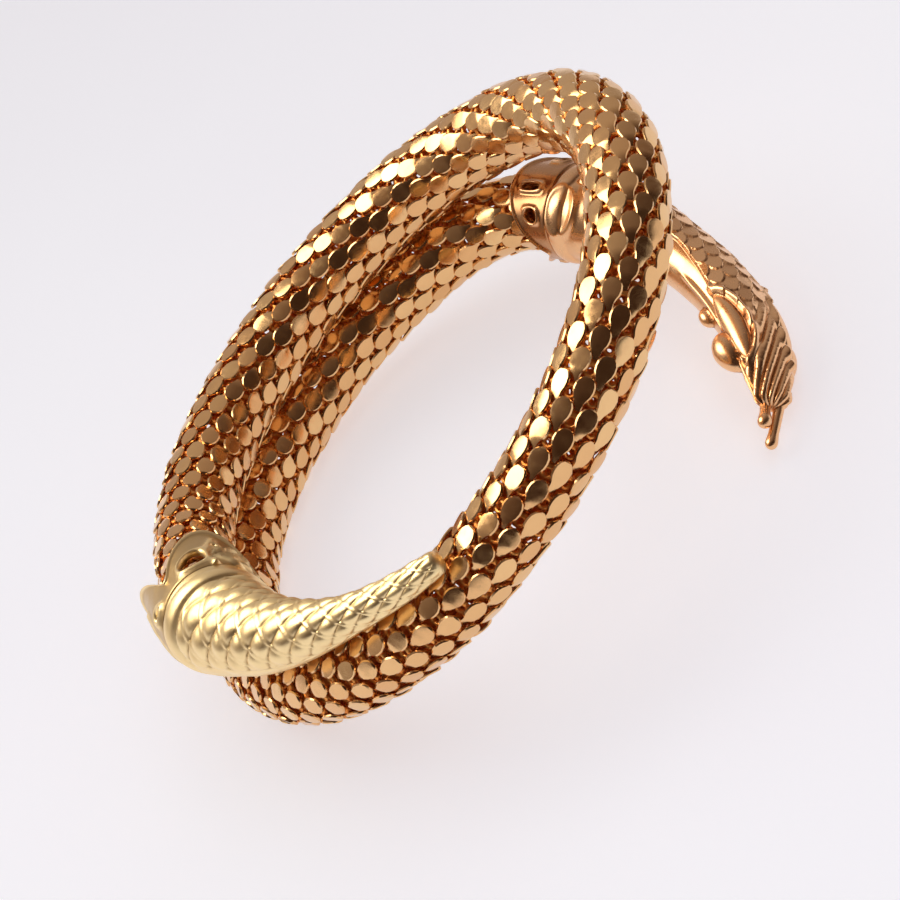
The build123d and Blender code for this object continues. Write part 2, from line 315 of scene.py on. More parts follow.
# The room: a white wall behind the bracelet, and a dim warm one behind the camera
ROOM_BRIGHT_SIDE = (-0.20, 0.85, 0.48)
ROOM_BRIGHT = 0.66
ROOM_DARK = 0.10
ROOM_FALL = (-0.35, 0.9)
ROOM_DIM_COLOUR = "#A87C68"
ROOM_BRIGHT_COLOUR = "#F2EFEC"

# The floor, paper lit from under it: size in metres, second tone, glow round the bracelet and far
# behind it, the way to behind, and from where to where it falls in metres
FLOOR_SIZE = 6
FLOOR_SECOND_TONE = "#E5E5ED"
FLOOR_GLOW = 0.585
FLOOR_GLOW_BEHIND = 0.47
FLOOR_WAY_BEHIND = (0.5, 0.87, 0.0)
FLOOR_FALL = (-0.06, 0.20)

# The camera: angle over the floor, roll, distance, lens and sensor in millimetres, and the point
# it looks at, to the right and over the middle of the coil
CAMERA_ELEVATION = math.radians(36.557)
CAMERA_ROLL = math.radians(38.906)
CAMERA_DISTANCE = 401 * MM
CAMERA_LENS = 129.73
CAMERA_SENSOR = 36
CAMERA_NEAR = 0.01
TARGET_RIGHT = -8.980 * MM
TARGET_UP = 3.514 * MM
LAMP_TARGET_HEIGHT = 15 * MM

# Reach of a cloudy pattern, and sockets of the colour mix node
CLOUD_REACH = (0.3, 0.7)
MIX_SHARE = 0
MIX_LOW = 6
MIX_HIGH = 7
MIX_RESULT = 2


def length_property(name, default, description):
    """Property in metres, given in millimetres."""
    return bpy.props.FloatProperty(
        name=name, description=description, default=default * MM, unit="LENGTH")


def angle_property(name, default, description):
    """Property in radians, given in degrees."""
    return bpy.props.FloatProperty(
        name=name, description=description, default=math.radians(default), subtype="ANGLE")


def colour_property(name, default):
    return bpy.props.StringProperty(name=name, description="sRGB hex value", default=default)


class BraceletSizes(bpy.types.PropertyGroup):
    coil_radius: length_property("Coil radius", 37.5, "Middle of the coil to the middle of the tube")
    tube_diameter: length_property("Tube diameter", 10.3, "Over the scales")
    strand_gap: length_property("Strand gap", 0.1, "Between turns that lie side by side")
    seat_gap: length_property("Seat gap", 0.2, "Mesh to the seats and collars of the castings")
    scale_width: length_property("Scale width", 2.42, "Widest part of one scale")
    scale_length: length_property("Scale length", 4.3, "Neck to round end")
    scale_thickness: length_property("Scale thickness", 0.16, "Stamped sheet")
    scale_crown: length_property("Scale crown", 0.085, "How far the middle of a scale stands up")
    scale_period: length_property("Scale period", 5.5, "From one scale to the next in its column")
    scale_columns: bpy.props.IntProperty(
        name="Columns", description="Columns of scales round the tube", default=20)
    mesh_twist: bpy.props.FloatProperty(
        name="Twist", description="Turns of the columns round the tube", default=-1.30)
    mesh_start: angle_property("First column", 243, "Where it starts round the tube, at the tail")
    tail_length: length_property("Tail length", 41.5, "Seat to tip")
    head_length: length_property("Head length", 46.6, "Seat to snout")
    head_roll: angle_property("Head roll", 40, "Lean of the head's top up from straight outward")
    seed: bpy.props.IntProperty(
        name="Seed", description="Of the small tilts of the scales", default=7)


class BraceletColours(bpy.types.PropertyGroup):
    scale_gold: colour_property("Scales", "#F2C68C")
    # Links and scale backs: more orange than the scales, a painted glow of light bounced inside the
    # mesh.
    link_gold: colour_property("Links and scale backs", "#FFB664")
    tail_gold: colour_property("Tail", "#FFE3AA")
    head_gold: colour_property("Head", "#F3C08E")
    floor: colour_property("Floor", "#EAEDF3")


def sizes():
    return bpy.context.scene.bracelet_sizes


def colours():
    return bpy.context.scene.bracelet_colours


def linear(hex_colour):
    """Linear colour of an sRGB hex value."""
    parts = [int(hex_colour[k:k + 2], 16) / 255 for k in (1, 3, 5)]
    return tuple(c / 12.92 if c <= 0.04045 else ((c + 0.055) / 1.055) ** 2.4 for c in parts) + (1.0,)


def between(rows, column, at):
    """Straight-line value of one column of a table at a value of the first column."""
    for low, high in zip(rows, rows[1:]):
        if at <= high[0]:
            share = (at - low[0]) / (high[0] - low[0])
            return low[column] + max(share, 0) * (high[column] - low[column])
    return rows[-1][column]


def smooth_between(rows, column, at):
    """Smooth value of one column: a cubic through the evenly spaced rows."""
    step = rows[1][0] - rows[0][0]
    place = (at - rows[0][0]) / step
    index = min(max(int(math.floor(place)), 1), len(rows) - 3)
    u = place - index
    a, b, c, d = [rows[index + k][column] for k in (-1, 0, 1, 2)]
    return 0.5 * (
        2 * b
        + (c - a) * u
        + (2 * a - 5 * b + 4 * c - d) * u ** 2
        + (3 * b - a - 3 * c + d) * u ** 3
    )


def soft(low, high, value):
    """Smooth step from 0 at low to 1 at high."""
    share = min(max((value - low) / (high - low), 0), 1)
    return share * share * (3 - 2 * share)


def hump(value, width):
    """Round ridge: 1 at nothing, gone at about twice the width."""
    return math.exp(-((value / width) ** 2))


class Snake:
    """Middle line of the whole snake, from the tail's tip to the tongue, measured by length."""

    def __init__(self):
        self.radius = sizes().coil_radius
        self.tube = sizes().tube_diameter / 2
        self.pitch = sizes().tube_diameter + sizes().strand_gap
        first, last = ROUTE[1][0], ROUTE[-2][0]
        self.turns = np.arange(first, last + ROUTE_STEP / 2, ROUTE_STEP)
        self.shift = Vector((0, 0, 0))
        points = [self.point(turn) for turn in self.turns]
        self.lengths = [0.0]
        for before, after in zip(points, points[1:]):
            self.lengths.append(self.lengths[-1] + (after - before).length)
        self.shift = self.place_on_frame(points)
        self.tail_seat = self.length_at(TAIL_SEAT)
        self.head_seat = self.length_at(HEAD_SEAT)

    def place_on_frame(self, points):
        """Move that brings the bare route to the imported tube."""
        low, high = [Vector(corner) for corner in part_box("mesh_body")]
        inside = [point for turn, point in zip(self.turns, points) if TAIL_SEAT < turn < HEAD_SEAT]
        shift = []
        for axis in range(3):
            least = min(point[axis] for point in inside) - self.tube
            most = max(point[axis] for point in inside) + self.tube
            shift.append((low[axis] + high[axis] - least - most) / 2)
        return Vector(shift)

    def point(self, turn):
        angle = math.radians(180 - turn)
        radius = self.radius * smooth_between(ROUTE, 1, turn)
        height = self.pitch * smooth_between(ROUTE, 2, turn)
        return Vector((radius * math.cos(angle), radius * math.sin(angle), height)) + self.shift

    def length_at(self, turn):
        return float(np.interp(turn, self.turns, self.lengths))

    def turn_at(self, length):
        return float(np.interp(length, self.lengths, self.turns))

    def frame(self, length, roll=0.0):
        """Point, direction, outward back and side of the line at a length, rolled about it."""
        turn = self.turn_at(length)
        point = self.point(turn)
        along = (self.point(turn + ROUTE_STEP) - self.point(turn - ROUTE_STEP)).normalized()
        radial = point - self.shift
        radial.z = 0
        outward = (radial - along * radial.dot(along)).normalized()
        upward = along.cross(outward)
        if upward.z < 0:
            upward = -upward
        back = outward * math.cos(roll) + upward * math.sin(roll)
        side = upward * math.cos(roll) - outward * math.sin(roll)
        return point, along, back, side


def switch_mode(mode):
    bpy.ops.object.mode_set(mode=mode)


def new_object(name, data):
    """Object in the scene for a mesh, a lamp or a camera."""
    item = bpy.data.objects.new(name, data)
    bpy.context.scene.collection.objects.link(item)
    return item


def select_only(*objects):
    """Leaves these objects selected, the first one active."""
    if bpy.context.object and bpy.context.object.mode != "OBJECT":
        switch_mode("OBJECT")
    bpy.ops.object.select_all(action="DESELECT")
    for piece in objects:
        piece.select_set(True)
    if objects:
        bpy.context.view_layer.objects.active = objects[0]


def add_grid(name, columns, rows):
    """Flat grid, with the column and the row of each of its vertices."""
    select_only()
    bpy.ops.mesh.primitive_grid_add(x_subdivisions=columns, y_subdivisions=rows, size=1)
    piece = bpy.context.object
    piece.name = name
    flat = np.array([vertex.co[:2] for vertex in piece.data.vertices]) + 0.5
    column = np.rint(flat[:, 0] * columns).astype(int)
    row = np.rint(flat[:, 1] * rows).astype(int)
    return piece, column, row


def set_points(piece, points):
    piece.data.vertices.foreach_set("co", np.array(points, dtype=float).ravel())
    piece.data.update()


def set_values(piece, name, values):
    """One number for each vertex, kept under a name."""
    if name not in piece.data.attributes:
        piece.data.attributes.new(name, "FLOAT", "POINT")
    piece.data.attributes[name].data.foreach_set("value", np.array(values, dtype=float))


def get_values(piece, name):
    values = np.zeros(len(piece.data.vertices))
    piece.data.attributes[name].data.foreach_get("value", values)
    return values


def close_skin(piece):
    """Merges the seam, closes the ends, turns faces outward and smooths."""
    select_only(piece)
    switch_mode("EDIT")
    bpy.ops.mesh.select_all(action="SELECT")
    bpy.ops.mesh.remove_doubles(threshold=MERGE_DISTANCE)
    bpy.ops.mesh.select_all(action="SELECT")
    bpy.ops.mesh.fill_holes(sides=0)
    bpy.ops.mesh.select_all(action="SELECT")
    bpy.ops.mesh.normals_make_consistent(inside=False)
    switch_mode("OBJECT")
    bpy.ops.object.shade_smooth()


def add_node(tree, kind, settings=None, values=None, links=None):
    """Adds one node with its settings, socket values and links from other sockets."""
    node = tree.nodes.new(kind)
    for key, value in (settings or {}).items():
        setattr(node, key, value)
    for key, value in (values or {}).items():
        node.inputs[key].default_value = value
    for key, source in (links or {}).items():
        tree.links.new(source, node.inputs[key])
    return node


def new_material(name):
    material = bpy.data.materials.new(name)
    material.use_nodes = True
    material.node_tree.nodes.clear()
    return material


def finish_material(material, shader):
    add_node(material.node_tree, "ShaderNodeOutputMaterial", links={"Surface": shader.outputs[0]})
    return material


def mix_colours(tree, low, high, share):
    """Goes from one sRGB hex colour to the other by a share."""
    mix = add_node(
        tree, "ShaderNodeMix", {"data_type": "RGBA"},
        {MIX_LOW: linear(low), MIX_HIGH: linear(high)}, {MIX_SHARE: share})
    return mix.outputs[MIX_RESULT]


def add_noise(tree, place, scale, detail, roughness=0.5):
    """Cloudy pattern in the object's own space."""
    noise = add_node(
        tree, "ShaderNodeTexNoise", None,
        {"Scale": scale, "Detail": detail, "Roughness": roughness},
        {"Vector": place.outputs["Object"]})
    return noise.outputs["Fac"]


def remap(tree, value, reach, low, high, kind="LINEAR"):
    """Goes from low to high while the value goes through its reach."""
    node = add_node(
        tree, "ShaderNodeMapRange", {"interpolation_type": kind},
        {"From Min": reach[0], "From Max": reach[1], "To Min": low, "To Max": high},
        {"Value": value})
    return node.outputs[0]


def add_fall(tree, place, way, reach, low, high):
    """Smooth change from low to high along a way."""
    along = add_node(
        tree, "ShaderNodeVectorMath", {"operation": "DOT_PRODUCT"}, {1: way}, {0: place})
    return remap(tree, along.outputs["Value"], reach, low, high, "SMOOTHSTEP")


def metal(tree, tint, rough, skin, strength, depth):
    """Metal with a finely uneven skin."""
    bump = add_node(
        tree, "ShaderNodeBump", None, {"Strength": strength, "Distance": depth},
        {"Height": skin})
    return add_node(
        tree, "ShaderNodeBsdfPrincipled", None, {"Metallic": 1.0},
        {"Base Color": tint, "Roughness": rough, "Normal": bump.outputs[0]})


def cast_gold(name, colour, groove_shade_colour, roughness):
    """Brass casting, barrel polished and plated: mirror-bright on the high relief, with painted
    shade in the grooves and creases, a darker colour wherever the relief mask is low."""
    material = new_material(name)
    tree = material.node_tree
    place = add_node(tree, "ShaderNodeTexCoord")
    relief = add_node(tree, "ShaderNodeAttribute", {"attribute_name": "relief"})
    # Painted shade: a low relief mask takes the colour to the darker groove colour.
    groove_shade = remap(tree, relief.outputs["Fac"], (0.0, 0.7), 0.0, 1.0)
    tint = mix_colours(tree, groove_shade_colour, colour, groove_shade)
    cloud = add_noise(tree, place, 400.0, 3.0, 0.6)
    skin = add_noise(tree, place, 1400.0, 2.0)
    rough = remap(tree, cloud, CLOUD_REACH, roughness * 0.8, roughness * 1.35)
    return finish_material(material, metal(tree, tint, rough, skin, 0.12, 0.05 * MM))


def stamped_gold(name, colour, worn_colour, roughness):
    """Stamped brass sheet or wire, tumbled bright and plated: mirror-like, each piece a shade
    apart, with the plate gone redder where it is thin."""
    material = new_material(name)
    tree = material.node_tree
    place = add_node(tree, "ShaderNodeTexCoord")
    shade = add_node(tree, "ShaderNodeAttribute", {"attribute_name": "shade"})
    tint = mix_colours(tree, worn_colour, colour, shade.outputs["Fac"])
    cloud = add_noise(tree, place, 900.0, 2.0)
    rough = remap(tree, cloud, CLOUD_REACH, roughness * 0.7, roughness * 1.5)
    return finish_material(material, metal(tree, tint, rough, cloud, 0.10, 0.04 * MM))


def mesh_parts(piece):
    """Points and faces of a piece, which is then removed."""
    points = np.array([vertex.co[:] for vertex in piece.data.vertices])
    faces = [list(polygon.vertices) for polygon in piece.data.polygons]
    bpy.data.objects.remove(piece)
    return points, faces


def one_scale():
    """One scale: crowned disc with a turned-down edge, and a neck bent down to its link."""
    half = sizes().scale_width / 2
    length = sizes().scale_length
    crown = sizes().scale_crown
    bend = math.tan(NECK_BEND)
    neck = SCALE_OUTLINE[NECK_ROW][0]
    last = len(SCALE_OUTLINE) - 1
    blank, column, row = add_grid("scale", len(SCALE_ACROSS) - 1, last)
    points = []
    for across, along in zip(column, row):
        share, width = SCALE_OUTLINE[along]
        side, height = SCALE_ACROSS[across]
        if along in (0, last):
            height = SCALE_ACROSS[0][1]
        drop = bend * max(neck - share, 0) * length
        points.append((side * width * half, (share - 0.5) * length, height * crown - drop))
    set_points(blank, points)
    select_only(blank)
    switch_mode("EDIT")
    bpy.ops.mesh.select_all(action="SELECT")
    bpy.ops.mesh.region_to_loop()
    down = (0, 0, -sizes().scale_thickness)
    bpy.ops.mesh.extrude_edges_move(TRANSFORM_OT_translate={"value": down})
    bpy.ops.mesh.edge_face_add()
    bpy.ops.mesh.select_all(action="SELECT")
    bpy.ops.mesh.normals_make_consistent(inside=False)
    switch_mode("OBJECT")
    backs = [len(polygon.vertices) > 4 for polygon in blank.data.polygons]
    points, faces = mesh_parts(blank)
    return points, faces, backs


def one_link():
    """One round wire link, lying flat."""
    select_only()
    bpy.ops.mesh.primitive_torus_add(
        major_segments=10, minor_segments=4, major_radius=LINK_RING, minor_radius=LINK_WIRE)
    return mesh_parts(bpy.context.object)


def tube_places(snake, offset, depth):
    """Places on the tube: point, direction to the tail, outward, and stretch of the mesh."""
    first = snake.tail_seat + sizes().seat_gap
    last = snake.head_seat - sizes().seat_gap
    room = last - first - sizes().scale_length
    count = round(room / sizes().scale_period)
    period = room / count
    columns = sizes().scale_columns
    radius = snake.tube - depth
    places = []
    for row in range(count + 1):
        for column in range(columns):
            stagger = 0.5 * (column % 2)
            length = first + sizes().scale_length / 2 + (row + stagger) * period + offset
            if not first + MM < length < last - MM:
                continue
            twist = TAU * sizes().mesh_twist * (length - first) / (last - first)
            angle = TAU * column / columns + sizes().mesh_start + twist
            near = []
            for hop in (-STRETCH_HOP, 0, STRETCH_HOP):
                centre, along, back, side = snake.frame(length + hop)
                out = back * math.cos(angle) + side * math.sin(angle)
                near.append((centre + out * radius, along, out))
            stretch = (near[2][0] - near[0][0]).length / (2 * STRETCH_HOP)
            places.append((near[1][0], -near[1][1], near[1][2], stretch))
    return places


def stand(point, forward, out, tilt, twist, lean):
    """Matrix of a scale: its round end forward and lifted, turned a little on the spot."""
    across = forward.cross(out).normalized()
    up = across.cross(forward).normalized()
    base = Matrix((across, forward, up)).transposed()
    turn = (
        Matrix.Rotation(twist, 3, "Z")
        @ Matrix.Rotation(tilt, 3, "X")
        @ Matrix.Rotation(lean, 3, "Y")
    )
    return Matrix.Translation(point) @ (base @ turn).to_4x4()


def joined_copies(name, points, faces, places):
    """One mesh of many copies, each at its own matrix."""
    all_points = []
    all_faces = []
    for index, matrix in enumerate(places):
        turned = points @ np.array(matrix.to_3x3()).T + np.array(matrix.translation)
        all_points.extend(map(tuple, turned))
        start = index * len(points)
        all_faces.extend([[start + corner for corner in face] for face in faces])
    mesh = bpy.data.meshes.new(name)
    mesh.from_pydata(all_points, [], all_faces)
    return new_object(name, mesh)


# Links and scale backs are brass like the scales, but coloured brighter and more orange as a painted
# glow, standing in for light bounced between the gold parts inside the mesh.
def link_gold(name):
    return stamped_gold(name, colours().link_gold, "#F09040", 0.42)


class BRACELET_OT_scales(bpy.types.Operator):
    """Lapped scales of the mesh tube, their round ends towards the tail"""

    bl_idname = "bracelet.scales"
    bl_label = "Scale mesh"

    def execute(self, context):
        snake = Snake()
        draw = random.Random(sizes().seed)
        points, faces, backs = one_scale()
        matrices = []
        shades = []
        for point, forward, out, stretch in tube_places(snake, 0, SCALE_DEPTH):
            lift = SCALE_LIFT + SCALE_LIFT_PRESSED * max(1 - stretch, 0)
            tilt = math.radians(lift + draw.gauss(0, SCALE_TILT_SPREAD))
            twist = math.radians(draw.gauss(0, SCALE_TWIST_SPREAD))
            lean = math.radians(draw.gauss(0, SCALE_LEAN_SPREAD))
            matrices.append(stand(point, forward, out, tilt, twist, lean))
            shades.append(draw.uniform(*SCALE_SHADES))
        piece = joined_copies("scale_mesh", points, faces, matrices)
        piece.data.materials.append(
            stamped_gold("tumbled_plated_brass", colours().scale_gold, "#DC9C62", 0.17))
        # The backs of the scales take the links' orange, a painted glow of light bounced inside the
        # mesh.
        piece.data.materials.append(link_gold("brass_scale_backs"))
        piece.data.polygons.foreach_set(
            "material_index", np.tile(np.array(backs, dtype=np.int32), len(matrices)))
        set_values(piece, "shade", np.repeat(shades, len(points)))
        select_only(piece)
        bpy.ops.object.shade_smooth_by_angle(angle=SCALE_EDGE_ANGLE)
        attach(piece, "root")
        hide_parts("mesh_body")
        return {"FINISHED"}


class BRACELET_OT_links(bpy.types.Operator):
    """Wire links under the scales, which show in the gaps between them"""

    bl_idname = "bracelet.links"
    bl_label = "Wire links"

    def execute(self, context):
        snake = Snake()
        draw = random.Random(sizes().seed + 1)
        points, faces = one_link()
        matrices = []
        for point, forward, out, _ in tube_places(snake, LINK_OFFSET, LINK_DEPTH):
            lean = math.radians(draw.gauss(0, LINK_LEAN_SPREAD))
            matrices.append(stand(point, forward, out, LINK_TILT, 0, lean))
        piece = joined_copies("scale_links", points, faces, matrices)
        piece.data.materials.append(link_gold("brass_wire"))
        set_values(piece, "shade", np.repeat([draw.random() for _ in matrices], len(points)))
        select_only(piece)
        bpy.ops.object.shade_smooth()
        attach(piece, "root")
        return {"FINISHED"}


class Seat(NamedTuple):
    """Where a casting starts on the middle line, which way it runs and how it is rolled."""

    snake: Snake
    length: float
    hand: int
    roll: float

    def frame(self, distance):
        """Frame of the line at millimetres past the seat, before it if negative."""
        return self.snake.frame(self.length + self.hand * distance * MM, self.roll)


def crowd(length, share, power):
    """Length at a share of the rows, which crowd together towards the far end."""
    return length * (1 - (1 - share) ** power)


def cast_skin(name, seat, grid, length, crowding, surface):
    """Closed skin round the middle line: surface gives radius and relief in millimetres."""
    rows, columns = grid
    tube = sizes().tube_diameter / MM / 2
    piece, column, row = add_grid(name, columns, rows)
    rings = []
    for step in range(rows + 1):
        distance = crowd(length, step / rows, crowding)
        rings.append((distance, seat.frame(distance)))
    points = []
    relief = []
    for across, along in zip(column, row):
        angle = TAU * (across % columns) / columns
        distance, (centre, _, back, side) = rings[along]
        radius, height = surface(distance, angle, distance / length, tube)
        points.append(centre + (back * math.cos(angle) + side * math.sin(angle)) * radius * MM)
        relief.append(height)
    set_points(piece, points)
    set_values(piece, "relief", relief)
    close_skin(piece)
    return piece


def stand_off(flare, angle):
    """How far a casting stands off its round section: most on the outer side of the coil."""
    return flare * (1 + math.cos(angle)) / 2


def bead(past, height):
    """Round bead that starts at nothing past the seat."""
    share = (past - BEAD_WIDTH / 2) / (BEAD_WIDTH / 2)
    return height * math.sqrt(max(1 - share ** 2, 0))


def pillow(value):
    """Rounded profile of a scale between two grooves."""
    return math.sin(math.pi * (value % 1.0)) ** 0.6


def off_line(value):
    """How far a value is from the nearest whole number."""
    return abs((value + 0.5) % 1.0 - 0.5)


def dome(off):
    """Height of a round dome at a share of its way from the middle to the foot."""
    return math.sqrt(max(1.02 - off * off, 0))


def round_end(share, run):
    """Share of the radius that is left where the tip closes."""
    return math.sqrt(max(1 - max((share - (1 - run)) / run, 0) ** 2, 0.0004))


def tail_surface(distance, angle, share, tube):
    """Radius and relief of the tail, millimetres from the seat; relief is the mask of its painted
    shade.
    """
    plain = tube * between(TAIL_SECTIONS, 1, share)
    size = 0.3 + 0.7 * min(plain / tube, 1)
    past = distance - TAIL_SLANT * (1 - math.cos(angle)) / 2
    behind = past - BEAD_WIDTH

    # Bead and the groove beside it
    raised = stand_off(TAIL_FLARE, angle) * max(1 - distance / TAIL_FLARE_RUN, 0)
    raised += bead(past, TAIL_BEAD_HEIGHT)
    groove = hump(behind - GROOVE_WIDTH, GROOVE_WIDTH)
    raised -= 0.22 * groove
    # Painted shade: the groove beside the bead is darker in colour as well as lower.
    relief = 1.0 - 0.8 * groove

    # Diamond scales between two crossing sets of lines
    along = past / DIAMOND_PERIOD
    around = DIAMONDS_ROUND * angle / TAU
    first, second = along + around, along - around
    diamond = (pillow(first) * pillow(second)) ** 0.8
    ridge = hump(off_line(first), 0.07)

    # Bare belly
    half = BELLY_HALF - BELLY_NARROWING * soft(5, 25, distance)
    from_belly = abs(math.degrees(math.remainder(angle - BELLY_MIDDLE, TAU)))
    scaled = soft(half - 3, half + 3, from_belly) * soft(0.4, 1.1, behind)
    scaled *= 1 - soft(0.96, 1.0, share)
    bare = (1 - scaled) * 0.40 * size * soft(0, 1, behind)
    raised += scaled * (0.62 * diamond + 0.30 * ridge) * size + bare - 0.1 * size
    # Painted shade: darker colour in the grooves between the diamonds.
    relief -= scaled * (1 - min(1, diamond * 1.3 + ridge)) * 0.9
    belly_line = hump(from_belly - half, 2.5) * soft(1, 3, past)
    raised -= 0.12 * belly_line * size
    # Painted shade along the edge of the belly.
    relief -= 0.4 * belly_line
    return (plain + raised) * round_end(share, TAIL_ROUND_END), max(relief, 0)


def head_section(share, angle, tube):
    """Radius of the plain head: one half oval over its sides and another under them."""
    width = 2 * tube * between(HEAD_SECTIONS, 1, share)
    depth = 2 * tube * between(HEAD_SECTIONS, 2 if math.cos(angle) > 0 else 3, share)
    return 1 / math.hypot(math.sin(angle) / width, math.cos(angle) / depth)


def nape_scales(distance, degrees):
    """Lapped scales of the neck: height, and how much painted shade the line between them gets."""
    along = distance / NAPE_ROW
    row = int(math.floor(along)) - 1
    line = 0.0
    while True:
        across = degrees / NAPE_WIDTH + 0.5 * (row % 2)
        off = abs((across % 1.0) * 2 - 1)
        edge = row + 1 + NAPE_BULGE * math.sqrt(max(1 - off * off, 0)) - NAPE_BULGE
        if along < edge:
            break
        line = along - edge
        row += 1
    rise = min(max(1 - (edge - along), 0), 1)
    return 0.35 + 0.65 * rise, soft(0.16, 0.0, line)


def crown_ridges(distance, degrees):
    """Rope-like ridges that run slanting over the crown to the snout: height, and how much painted
    shade their grooves and notches get.
    """
    off = off_line((degrees - RIDGE_SLANT * (distance - RIDGE_START)) / RIDGE_SPACING)
    ridge = math.cos(math.pi * off) ** 0.8
    notch = hump(off_line((distance + 0.03 * degrees) / NOTCH_SPACING), 0.09)
    return ridge * (1 - 0.10 * notch), soft(0.45, 0.1, ridge) + 0.25 * notch


def add_eye(raised, relief, distance, degrees, radius, cover):
    """Bulging almond eye in a rimmed bed, sunk into the cover of the crown."""
    over = (distance - EYE_PLACE) / EYE_HALF_LENGTH
    arc = math.radians(degrees - EYE_DEGREES + EYE_SLANT * over) * radius
    rim = math.hypot((distance - RIM_PLACE) / RIM_HALF_LENGTH, arc / RIM_HALF_WIDTH)
    if arc < RIM_REACH:
        crescent = hump(rim - 1, 0.13) * soft(RIM_REACH, -0.4, arc)
        bed = soft(0.95, 0.7, rim) * soft(RIM_REACH, 0.0, arc)
        raised += RIM_HEIGHT * crescent - bed * 0.45 * cover
        # Painted shade in a ring just inside the rim.
        relief = max(relief, crescent) - 0.5 * hump(rim - 0.8, 0.1)
    room = 1 - over * over
    if room > 0:
        across = abs(arc) / (EYE_HALF_WIDTH * room ** 0.6)
        if across < 1.25:
            mix = soft(1.12, 0.97, across)
            ball = EYE_FOOT + EYE_HEIGHT * room ** 0.45 * dome(across)
            raised = raised * (1 - mix) + mix * ball
            # Painted shade round the foot of the eyeball.
            relief = relief * (1 - mix) + mix - 0.8 * hump(across - 1.08, 0.09)
    return raised, relief


def add_domes(raised, relief, distance, turned, radius):
    """Cheeks and the curls behind the jaw."""
    for where, from_back, half_long, half_wide, height in HEAD_DOMES:
        aside = math.radians(turned - from_back) * radius
        off = math.hypot((distance - where) / half_long, aside / half_wide)
        if off < 1.4:
            mix = soft(1.08, 0.96, off)
            raised = raised * (1 - mix) + mix * height * dome(off)
            # Painted shade round the foot of each dome.
            relief = relief * (1 - mix) + mix - 0.8 * hump(off - 1.1, 0.1)
    return raised, relief


def head_surface(distance, angle, share, tube):
    """Radius and relief of the head, millimetres from the seat; relief is the mask of its painted
    shade.
    """
    plain = head_section(share, angle, tube)
    turned = math.degrees(math.remainder(angle, TAU))
    degrees = abs(turned)

    # Crown: scales on the nape, then ridges to the snout
    hood = between(HOOD_EDGE, 1, distance)
    crown = soft(hood + 2.5, hood - 2.5, degrees) * soft(BEAD_WIDTH, BEAD_WIDTH + 1, distance)
    to_ridges = soft(*TO_RIDGES, distance)
    scale_height, scale_line = nape_scales(distance, turned)
    ridge_height, ridge_line = crown_ridges(distance, turned)
    cover = crown * (0.34 * (1 - to_ridges) * scale_height + 0.55 * to_ridges * ridge_height)
    raised = bead(distance, HEAD_BEAD_HEIGHT) + 0.30 * crown + cover
    # Painted shade in the lines between the nape scales and in the grooves between the ridges.
    relief = 1.0 - crown * ((1 - to_ridges) * 0.75 * scale_line + to_ridges * 0.8 * ridge_line)

    # Painted shadow along a line under the edge of the crown, and the scroll behind the bead
    line = hump(degrees - hood - 3, 3.0) * soft(3, 6, distance) * soft(32, 29, distance)
    relief -= 0.7 * line
    aside = turned - SCROLL_DEGREES
    scroll = math.hypot((distance - SCROLL_PLACE) / SCROLL_PLACE, aside / 30)
    raised += 0.35 * hump(scroll - 1, 0.22) * soft(1, -1, abs(aside) - 45)

    # Lips
    lip = soft(20.0, 25.0, distance)
    raised += 0.50 * lip * hump(degrees - UPPER_LIP, 5.5)
    raised += 0.28 * lip * hump(degrees - LOWER_LIP, 4.5) * soft(40, 42, distance)
    # Painted shade in the line of the mouth.
    relief -= 0.7 * lip * hump(degrees - MOUTH, 3.5)

    radius = plain + 0.3
    raised, relief = add_eye(raised, relief, distance, degrees, radius, cover)
    raised, relief = add_domes(raised, relief, distance, turned, radius)
    return (plain + raised) * round_end(share, HEAD_ROUND_END), min(max(relief, 0), 1)


class Collar(NamedTuple):
    """Openwork collar: lengths in millimetres, valley as the column of the first one between
    two lobes, and the holes of each lobe."""

    columns: int
    length: float
    flare: float
    lobes: int
    valley: int
    lobe_holes: list

    def reach(self, column):
        """Share of the length that it has at a column: long at a lobe, short between two."""
        width = self.columns / self.lobes
        from_middle = abs((column - self.valley) % width / width * 2 - 1)
        return LOBE_VALLEY + (1 - LOBE_VALLEY) * (1 - from_middle ** 2) ** LOBE_ROUND

    def holes(self):
        """Cells that are open, as first row, last row, first and last column."""
        cells = []
        for lobe in range(self.lobes):
            start = self.valley + lobe * (self.columns // self.lobes)
            for first, last, left, right in self.lobe_holes:
                cells.append((first, last, start + left, start + right))
        return cells


TAIL_COLLAR = Collar(36, 10.8, TAIL_FLARE, 3, 7, TAIL_HOLES)
HEAD_COLLAR = Collar(48, 6.2, HEAD_FLARE, 2, 20, HEAD_HOLES)


def tail_leaves(tip, degrees):
    """Cast leaf spray, scroll and stippled patch on the upper lobe of the tail's collar."""
    across = math.radians(degrees - LEAF_DEGREES) * ORNAMENT_RADIUS
    up = tip - LEAF_TIP
    reach = math.hypot(up, across)
    leaf = max(math.cos(LEAF_COUNT * math.atan2(up, across) + LEAF_TURN), 0) ** 1.5
    spray = leaf * soft(0.6, 1.6, reach) * soft(6.5, 4.0, reach)
    if across < -0.4:
        spray = 0.0
    aside = math.radians(degrees - CURL_DEGREES) * ORNAMENT_RADIUS
    curl_reach = math.hypot(tip - CURL_TIP, aside)
    curl = hump(curl_reach - 0.95, 0.28) + hump(curl_reach, 0.3)
    stipple = 0.0
    if STIPPLE_DEGREES[0] < degrees < STIPPLE_DEGREES[1] and tip < STIPPLE_TIP:
        round_it = math.radians(degrees) * ORNAMENT_RADIUS
        stipple = max(math.sin(tip * STIPPLE_GRAIN) * math.sin(round_it * STIPPLE_GRAIN), 0)
    return LEAF_HEIGHT * max(spray, curl) + STIPPLE_HEIGHT * stipple


